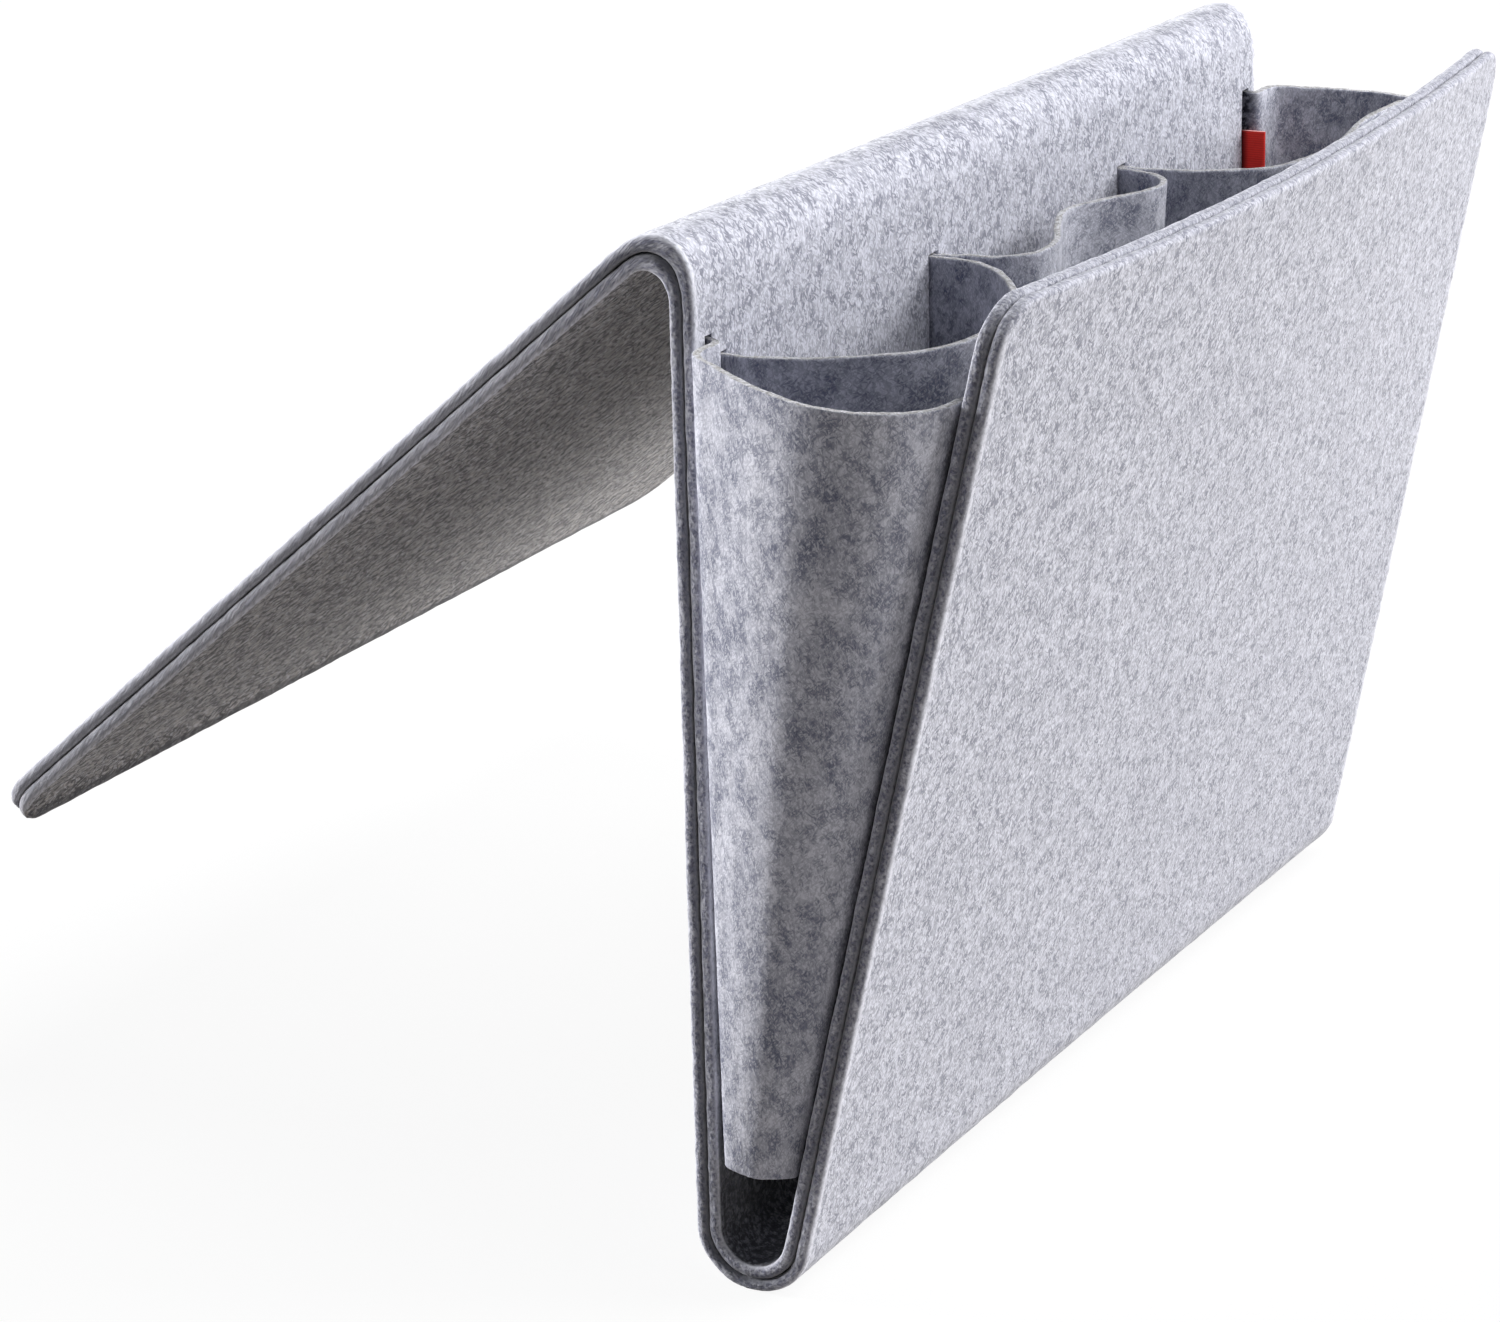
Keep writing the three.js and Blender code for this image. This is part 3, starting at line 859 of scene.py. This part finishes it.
def strip_piece(name, strip, insert, start, end, pocket_side):
    """One layer of the felt strip, from the flap's free end or up to the front's."""
    sizes = strip.sizes
    on_flap = start < TOUCH
    free, closed, inwards = (start, end, 1) if on_flap else (end, start, -1)
    holes = []
    if pocket_side:
        holes = [
            (x0, x1, max(s0, start), min(s1, end))
            for x0, x1, s0, s1 in slit_boxes(strip, insert)
            if s0 < end and s1 > start
        ]
    columns, rows = strip_grid(strip, start, end, free, inwards, holes)
    gap = sizes.glue_line / 2
    low, high = (gap, gap + sizes.layer) if pocket_side else (-gap - sizes.layer, -gap)
    outline = rounded_end(sizes, free, -inwards)
    bm = flat_felt(columns, rows, low, high, sizes.edge, outline, holes, sizes.slit_edge, closed)
    flat = bm.verts.layers.float_vector["felt"]
    for vert in bm.verts:
        vert[flat] = (vert.co.x, strip.face_length(vert.co.y, vert.co.z), vert.co.z)
    materials = [material_for("felt")]
    if on_flap and not pocket_side:
        darken_flap_border(bm, low)
        # The flap's underside takes the felt recoloured with painted warm bounce light and shade
        materials.append(material_for("under_felt"))
        inside_fold = (strip.top_from + strip.back_from) / 2
        for face in bm.faces:
            face.material_index = 1 if face.calc_center_median().y < inside_fold else 0
    if pocket_side and not on_flap:
        shade_bottom_fold(bm, strip, high)
    roughen(bm, STRIP_ROUGHNESS, UPPER_SEED if pocket_side else UNDER_SEED)
    for vert in bm.verts:
        vert.co = strip.place(*vert.co)
    return finish_piece(bm, name, *materials)


def blend_at_front(piece, strip):
    """Bends a piece that spans the pocket as the front moves."""
    middle = (strip.up + strip.front_up).normalized()
    out = middle.cross(ACROSS).normalized()
    out = out if out.y < 0 else -out
    start = strip.bottom_axis - out * POCKET_REACH
    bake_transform(piece, "back", "front", start, strip.bottom_axis + out * POCKET_REACH)


class CADDY_OT_flap_and_back(bpy.types.Operator):
    """Folds the upper part of both felt layers: the flap, the top fold and the upper back"""

    bl_idname = "caddy.flap_and_back"
    bl_label = "Flap and upper back"

    def execute(self, context):
        strip, insert = strip_and_insert()
        axis = Vector(FLAP_JOINT["pos_m"])
        reach = (strip.flap_down + strip.up).normalized() * FOLD_REACH
        for name, pocket_side, nodes in (
            ("flap_upper_felt", True, ("flap_upper_layer", "top_fold_outer_layer", "back_pocket_layer")),
            ("flap_under_felt", False, ("flap_lower_layer", "top_fold_inner_layer", "back_rear_layer")),
        ):
            piece = strip_piece(name, strip, insert, 0.0, strip.split, pocket_side)
            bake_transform(piece, "back", "flap", axis - reach, axis + reach)
            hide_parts(*nodes)
        return {"FINISHED"}


class CADDY_OT_pocket(bpy.types.Operator):
    """Folds the lower part of both felt layers: the lower back, the bottom fold and the front"""

    bl_idname = "caddy.pocket"
    bl_label = "Lower back and front"

    def execute(self, context):
        strip, insert = strip_and_insert()
        axis = Vector(FRONT_JOINT["pos_m"])
        reach = (strip.front_out + strip.pocketward).normalized() * FOLD_REACH
        for name, pocket_side, nodes in (
            ("pocket_inner_felt", True, ("bottom_fold_inner_layer", "front_inner_layer")),
            ("pocket_outer_felt", False, ("bottom_fold_outer_layer", "front_outer_layer")),
        ):
            piece = strip_piece(name, strip, insert, strip.split, strip.end, pocket_side)
            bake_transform(piece, "back", "front", axis - reach, axis + reach)
            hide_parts(*nodes)
            flat = (strip.sizes.width, strip.end - strip.split)
        return {"FINISHED"}


def spline(points, share):
    """A point and heading on a smooth curve through all the points."""
    spans = len(points) - 1
    run = clamp(share) * spans
    index = min(int(run), spans - 1)
    t = run - index
    p0 = points[max(index - 1, 0)]
    p1 = points[index]
    p2 = points[index + 1]
    p3 = points[min(index + 2, spans)]
    v0 = (p2 - p0) / 2
    v1 = (p3 - p1) / 2
    cubic = 2 * p1 - 2 * p2 + v0 + v1
    square = 3 * p2 - 3 * p1 - 2 * v0 - v1
    point = cubic * t**3 + square * t**2 + v0 * t + p1
    heading = 3 * cubic * t**2 + 2 * square * t + v0
    return point, heading.normalized()


# A gusset's course between its bends: share of the opening, of the top's bulge and of the foot's bulge
GUSSET_COURSE = (
    (0, 0, 0),
    (0, 0.18, 0.41),
    (0.012, 0.36, 0.69),
    (0.06, 0.475, 0.845),
    (0.133, 0.57, 0.915),
    (0.24, 0.713, 0.975),
    (0.41, 0.9, 1),
    (0.59, 1, 0.95),
    (0.766, 0.93, 0.68),
    (0.9, 0.705, 0.38),
    (0.98, 0.4, 0.16),
    (1, 0.15, 0.06),
    (1, 0, 0),
)
# The point of the course that is the crown at the foot, with the next one the crown at the top
FOOT_CROWN = 6

# Shares of the course that a tab and its bend take up at each end, with the bulge between
TAB_SHARE = 0.05
BEND_SHARE = 0.05
BULGE_FROM = TAB_SHARE + BEND_SHARE
BULGE_SHARE = 1 - 2 * BULGE_FROM
COURSE_STEPS = 160

# Where painted shade darkens a gusset beside its slits: up to this share from the back, and further from the
# front
SLIT_SHADE_SHARE = 0.09
SLIT_SHADE_AT_FRONT = 0.6
SLIT_SHADE_FADE = 0.035


class Gusset:
    """A gusset between the back and the front: a tab, a bend out, a wide bulge, a bend back and a tab."""

    def __init__(self, strip, insert, side):
        self.strip = strip
        self.insert = insert
        self.outward = ACROSS * side
        self.root = side * (strip.sizes.width / 2 - insert.gusset_inset)
        self.low = insert.gusset_from
        self.high = strip.back - insert.gusset_below
        self.runs = running_length(self.course(self.high))
        self.top_width = self.runs[-1]
        self.foot_width = running_length(self.course(self.low))[-1]

    def level(self, height):
        return (height - self.low) / (self.high - self.low)

    def ends(self, height):
        inner = self.strip.sizes.bottom_radius
        back = self.strip.on_back(self.root, height, -inner)
        front = self.strip.on_front(self.root, height, inner)
        return back, front

    def plan(self, height, share):
        """Forward and outward place and heading at a share of the gusset's course."""
        insert = self.insert
        back, front = self.ends(height)
        opening = (front - back).length
        at_back = share < 0.5
        from_end = min(share, 1 - share)
        if share < TAB_SHARE or share > 1 - TAB_SHARE:
            run = from_end / TAB_SHARE * (insert.tab + insert.gusset_lead) - insert.tab
            return Vector((run if at_back else opening - run, 0)), Vector((1, 0))
        bend = insert.gusset_bend
        if share < BULGE_FROM or share > 1 - BULGE_FROM:
            turn = (from_end - TAB_SHARE) / BEND_SHARE * math.pi / 2
            run = insert.gusset_lead + bend * math.sin(turn)
            place = Vector((run if at_back else opening - run, bend * (1 - math.cos(turn))))
            return place, Vector((math.cos(turn), math.sin(turn) if at_back else -math.sin(turn)))
        wall = insert.gusset_lead + bend
        top_rise = (insert.top_bulge - bend) * self.level(height)
        foot_rise = (insert.foot_bulge - bend) * (1 - self.level(height))
        points = [
            Vector((wall + (opening - 2 * wall) * x, bend + top_rise * top + foot_rise * foot))
            for x, top, foot in GUSSET_COURSE
        ]
        return spline(points, (share - BULGE_FROM) / BULGE_SHARE)

    def course(self, height):
        return [self.plan(height, i / COURSE_STEPS)[0] for i in range(COURSE_STEPS + 1)]

    def crown(self, height):
        """The share of the course at which the gusset stands out most."""
        along = (FOOT_CROWN + self.level(height)) / (len(GUSSET_COURSE) - 1)
        return BULGE_FROM + BULGE_SHARE * along

    def place(self, share, height, through):
        back, front = self.ends(height)
        forward = (front - back).normalized()
        at, heading = self.plan(height, share)
        normal = self.outward * heading.x - forward * heading.y
        return back + forward * at.x + self.outward * at.y + normal * through

    def flat_width(self, height):
        """Width of the flat sheet at a height."""
        return self.foot_width + (self.top_width - self.foot_width) * self.level(height)

    def share(self, part):
        """The course share at a part of the flat width."""
        run = clamp(part) * self.top_width
        index = min(max(bisect.bisect_right(self.runs, run) - 1, 0), COURSE_STEPS - 1)
        start, end = self.runs[index], self.runs[index + 1]
        return (index + (run - start) / (end - start)) / COURSE_STEPS


# Spacing of the thin sheets' grids and of the lines beside their rims, a gusset's columns as shares
THIN_RIM = 0.001
GUSSET_COLUMN = 0.012
GUSSET_ROW = 0.0025
GUSSET_COLUMN_STOPS = (-0.5, -0.49, 0.49, 0.5)
GUSSET_SEED = 20.0
POUCH_COLUMN = 0.0018
POUCH_ROW = 0.006
POUCH_RIM_SHARE = 0.006
POUCH_SEED = 40.0
POUCH_STEPS = 200


def thin_rows(low, high, spacing):
    return stations([low, low + THIN_RIM, high - THIN_RIM, high], spacing)


class CADDY_OT_gussets(bpy.types.Operator):
    """Bends the two thin felt gussets out between the back and the front"""

    bl_idname = "caddy.gussets"
    bl_label = "Gussets"

    def execute(self, context):
        strip, insert = strip_and_insert()
        thick = insert.felt / 2
        columns = stations(GUSSET_COLUMN_STOPS, GUSSET_COLUMN)
        for name, side, node in (
            ("left_gusset_felt", -1, "left_gusset"),
            ("right_gusset_felt", 1, "right_gusset"),
        ):
            gusset = Gusset(strip, insert, side)
            rows = thin_rows(gusset.low, gusset.high, GUSSET_ROW)

            def outline(x, y, gusset=gusset):
                return x * gusset.flat_width(y), y

            bm = flat_felt(columns, rows, -thick, thick, insert.edge, outline)
            roughen(bm, THIN_ROUGHNESS, GUSSET_SEED + side)
            shade = bm.verts.layers.float["shade"]
            for vert in bm.verts:
                share = gusset.share(vert.co.x / gusset.flat_width(vert.co.y) + 0.5)
                # Painted shade in the dark gap where the gusset leaves its slits
                slit_shade = SLIT_SHADE_SHARE - min(share, SLIT_SHADE_AT_FRONT * (1 - share))
                vert[shade] = clamp(slit_shade / SLIT_SHADE_FADE)
                vert.co = gusset.place(share, vert.co.y, vert.co.z)
            piece = finish_piece(bm, name, material_for("thin_felt"))
            blend_at_front(piece, strip)
            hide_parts(node)
            height = gusset.high - gusset.low
            (gusset.foot_width + gusset.top_width) / 2 * height
        return {"FINISHED"}


# The pouches' courses in plan between their slits: share of the width, share of the depth
LEFT_COURSE = ((0, 0.2), (0.07, 0.58), (0.2, 0.9), (0.4, 1), (0.65, 0.87), (0.87, 0.58), (0.985, 0.28))
MIDDLE_COURSE = (
    (0.02, 0.36),
    (0.03, 0.7),
    (0.1, 1),
    (0.22, 0.96),
    (0.36, 0.66),
    (0.52, 0.38),
    (0.67, 0.57),
    (0.8, 0.84),
    (0.9, 0.8),
    (0.97, 0.5),
)
RIGHT_COURSE = ((0, 0.25), (0.03, 0.55), (0.11, 0.88), (0.28, 1), (0.5, 0.98), (0.75, 0.87))


class PouchPlan:
    """Plan of a pouch's sheet at a height, from one slit to the other."""

    def __init__(self, strip, insert, start, end, depth, course):
        self.strip = strip
        self.insert = insert
        self.start = start
        self.end = end
        self.depth = depth
        self.course = course
        self.low = insert.pouch_from
        self.high = strip.back - insert.pouch_below

    def opening(self, height):
        """Width of the pocket's wedge at a height."""
        wedge = self.strip.half_wedge
        return 2 * (self.strip.sizes.bottom_radius * math.cos(wedge) + height * math.sin(wedge))

    def points(self, height):
        reach = self.depth * self.opening(height) / self.opening(self.high)
        end, last = self.far_end(height)
        first = [Vector((self.start, -self.insert.tab)), Vector((self.start, self.insert.pouch_lead))]
        between = [Vector((self.start + (end - self.start) * x, reach * d)) for x, d in self.course]
        return first + between + last

    def far_end(self, height):
        """The far end's place across, and the last points of the plan."""
        return self.end, [Vector((self.end, self.insert.pouch_lead)), Vector((self.end, -self.insert.tab))]

    def place(self, share, height, through):
        point, heading = spline(self.points(height), share)
        base = self.strip.on_back(point.x, height, point.y - self.strip.sizes.bottom_radius)
        return base - (ACROSS * -heading.y + self.strip.pocketward * heading.x) * through

    def flat_length(self):
        points = self.points((self.low + self.high) / 2)
        return running_length([spline(points, i / POUCH_STEPS)[0] for i in range(POUCH_STEPS + 1)])[-1]


class RightPouchPlan(PouchPlan):
    """The right pouch ends on the inside of the right gusset's crown."""

    def __init__(self, *settings):
        super().__init__(*settings)
        self.gusset = Gusset(self.strip, self.insert, 1)

    def far_end(self, height):
        share = self.gusset.crown(height)
        level = height + self.gusset.plan(height, share)[0].x * math.sin(self.strip.half_wedge)
        crown = self.gusset.place(share, level, -self.insert.felt / 2 - self.insert.pouch_gap)
        offset = (crown - self.strip.bottom_axis).dot(self.strip.pocketward)
        return crown.x, [Vector((crown.x, offset + self.strip.sizes.bottom_radius))]


class CADDY_OT_pouches(bpy.types.Operator):
    """Bends the three thin felt pouches out from the back"""

    bl_idname = "caddy.pouches"
    bl_label = "Pouches"

    def execute(self, context):
        strip, insert = strip_and_insert()
        aside = (insert.felt + insert.slit) / 2
        left, first, second = pouch_slits(strip, insert)
        thick = insert.felt / 2
        pouches = (
            ("left_pouch", PouchPlan, left, first - aside, insert.left_depth, LEFT_COURSE),
            ("middle_pouch", PouchPlan, first + aside, second - aside, insert.middle_depth, MIDDLE_COURSE),
            ("right_pouch", RightPouchPlan, second + aside, None, insert.right_depth, RIGHT_COURSE),
        )
        for index, (node, plan_type, *settings) in enumerate(pouches):
            plan = plan_type(strip, insert, *settings)
            across = plan.flat_length()
            rim = POUCH_RIM_SHARE * across
            columns = stations([0, rim, across - rim, across], POUCH_COLUMN)
            rows = thin_rows(plan.low, plan.high, POUCH_ROW)
            bm = flat_felt(columns, rows, -thick, thick, insert.edge)
            roughen(bm, THIN_ROUGHNESS, POUCH_SEED + index)
            for vert in bm.verts:
                vert.co = plan.place(vert.co.x / across, vert.co.y, vert.co.z)
            piece = finish_piece(bm, f"{node}_felt", material_for("thin_felt"))
            if node == "right_pouch":
                blend_at_front(piece, strip)
            else:
                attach(piece, "back")
            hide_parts(node)
            flat = (across, plan.high - plan.low)
        return {"FINISHED"}


RIBBON_COLUMN = 0.00025
RIBBON_ROW = 0.0004


class CADDY_OT_tag(bpy.types.Operator):
    """Folds the ribbon tag and sets it in the slit beside the right gusset"""

    bl_idname = "caddy.tag"
    bl_label = "Ribbon tag"

    def execute(self, context):
        strip, insert = strip_and_insert()
        thick = insert.ribbon / 2
        radius = thick + LOOP_GAP
        straight = insert.tab + insert.tag_reach - radius - thick
        total = 2 * straight + math.pi * radius
        top = strip.back - insert.gusset_below - insert.tag_below
        x = tag_place(strip, insert)
        columns = stations([0, straight, total - straight, total], RIBBON_COLUMN)
        rows = stations([top - insert.tag_height, top], RIBBON_ROW)
        bm = flat_felt(columns, rows, -thick, thick, insert.ribbon_edge)
        shade = bm.verts.layers.float["shade"]
        for vert in bm.verts:
            run, height, through = vert.co
            out = max(0.0, min(run, total - run) - insert.tab)
            vert[shade] = max(0.0, 1 - out / insert.tag_root)
            if run < straight:
                forward, aside = run, -radius - through
            elif run > total - straight:
                forward, aside = total - run, radius + through
            else:
                turn = (run - straight) / radius
                forward = straight + (radius + through) * math.sin(turn)
                aside = -(radius + through) * math.cos(turn)
            vert.co = strip.on_back(x + aside, height, forward - insert.tab - strip.sizes.bottom_radius)
        piece = finish_piece(bm, "tag_ribbon", material_for("ribbon"))
        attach(piece, "back")
        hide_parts("ribbon_tag")
        return {"FINISHED"}


# Floor, lamps as name, place, aim, size and power, and the photograph's view
WHITE = (1, 1, 1, 1)
SKY = (0.6, 0.76, 1.0, 1)
SKY_STRENGTH = 0.04
FLOOR_REACH = 8.0
FLOOR_GLOW = 0.9
LAMPS = (
    ("front_softbox", (3.0, -2.76, 1.68), (0, 0, 0.12), 4.0, 380.0),
    ("rear_softbox", (-0.68, 3.56, 0.9), (0, 0, 0.1), 1.2, 228.0),
    ("top_softbox", (0.1, -0.6, 1.8), (0, 0, 0), 1.0, 18.0),
)
CAMERA_PLACE = (-0.9382, -0.4164, 0.4506)
CAMERA_HEADING = (0.8349, 0.4471, -0.3211)
CAMERA_LENS = 103.2
CAMERA_SENSOR = 36.0
CAMERA_NEAR = 0.01


def facing(heading):
    return Vector(heading).to_track_quat("-Z", "Y").to_euler()


def add_floor(scene):
    """A floor that the camera sees as white, with the caddy's shadow."""
    bm = bmesh.new()
    bmesh.ops.create_grid(bm, x_segments=1, y_segments=1, size=FLOOR_REACH)
    material, graph = new_material("caddy_floor")
    seen = graph.seen()
    pale = graph.mix(opaque(scene.caddy_colours.floor), WHITE, seen)
    diffuse = graph.node("ShaderNodeBsdfDiffuse", {}, {"Color": pale, "Roughness": 0.5})
    glow = graph.node("ShaderNodeEmission", {}, {"Color": WHITE, "Strength": 1.0})
    mixed = graph.node("ShaderNodeMixShader", {}, {0: seen * FLOOR_GLOW, 1: diffuse, 2: glow})
    graph.node("ShaderNodeOutputMaterial", {}, {"Surface": mixed})
    finish_piece(bm, "floor", material)


def add_world(scene):
    """A white background for the camera, and faint sky light for the caddy."""
    scene.world = bpy.data.worlds.new("caddy_world")
    scene.world.use_nodes = True
    graph = Graph(scene.world.node_tree)
    sky = graph.node("ShaderNodeBackground", {}, {"Color": SKY, "Strength": SKY_STRENGTH})
    white = graph.node("ShaderNodeBackground", {}, {"Color": WHITE, "Strength": 1.0})
    mixed = graph.node("ShaderNodeMixShader", {}, {0: graph.seen(), 1: sky, 2: white})
    graph.node("ShaderNodeOutputWorld", {}, {"Surface": mixed})


def add_lamp(scene, name, place, aim, size, power):
    lamp = bpy.data.lights.new(name, "AREA")
    lamp.shape = "SQUARE"
    lamp.size = size
    lamp.energy = power
    light = bpy.data.objects.new(name, lamp)
    light.location = place
    light.rotation_euler = facing(Vector(aim) - Vector(place))
    scene.collection.objects.link(light)


def add_camera(scene):
    lens = bpy.data.cameras.new("photo_camera")
    lens.sensor_fit = "HORIZONTAL"
    lens.sensor_width = CAMERA_SENSOR
    lens.lens = CAMERA_LENS
    lens.clip_start = CAMERA_NEAR
    camera = bpy.data.objects.new("photo_camera", lens)
    camera.location = CAMERA_PLACE
    camera.rotation_euler = facing(CAMERA_HEADING)
    scene.collection.objects.link(camera)
    scene.camera = camera


class CADDY_OT_stage(bpy.types.Operator):
    """Sets the floor, the soft lights and the camera"""

    bl_idname = "caddy.stage"
    bl_label = "Stage"

    def execute(self, context):
        scene = context.scene
        add_floor(scene)
        add_world(scene)
        for lamp in LAMPS:
            add_lamp(scene, *lamp)
        add_camera(scene)
        scene.view_settings.view_transform = "Standard"
        return {"FINISHED"}


class CADDY_PT_panel(bpy.types.Panel):
    """Lists the caddy's sizes, colours and pieces"""

    bl_idname = "CADDY_PT_panel"
    bl_label = "Felt bedside caddy"
    bl_space_type = "VIEW_3D"
    bl_region_type = "UI"
    bl_category = "Caddy"

    def draw(self, context):
        for name, group in GROUPS.items():
            box = self.layout.box()
            for key in group.__annotations__:
                box.prop(getattr(context.scene, name), key)
        for operator in OPERATORS:
            self.layout.operator(operator.bl_idname)


GROUPS = {"caddy_strip": CaddyStrip, "caddy_insert": CaddyInsert, "caddy_colours": CaddyColours}
OPERATORS = (
    CADDY_OT_flap_and_back,
    CADDY_OT_pocket,
    CADDY_OT_gussets,
    CADDY_OT_pouches,
    CADDY_OT_tag,
    CADDY_OT_stage,
)


def register():
    for key, group in GROUPS.items():
        bpy.utils.register_class(group)
        setattr(bpy.types.Scene, key, bpy.props.PointerProperty(type=group))
    for cls in (*OPERATORS, CADDY_PT_panel):
        bpy.utils.register_class(cls)


def unregister():
    for cls in (CADDY_PT_panel, *reversed(OPERATORS)):
        bpy.utils.unregister_class(cls)
    for key, group in GROUPS.items():
        delattr(bpy.types.Scene, key)
        bpy.utils.unregister_class(group)


def main():
    register()
    bpy.ops.caddy.flap_and_back()
    bpy.ops.caddy.pocket()
    bpy.ops.caddy.gussets()
    bpy.ops.caddy.pouches()
    bpy.ops.caddy.tag()
    bpy.ops.caddy.stage()
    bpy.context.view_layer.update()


if __name__ == "__main__":
    main()
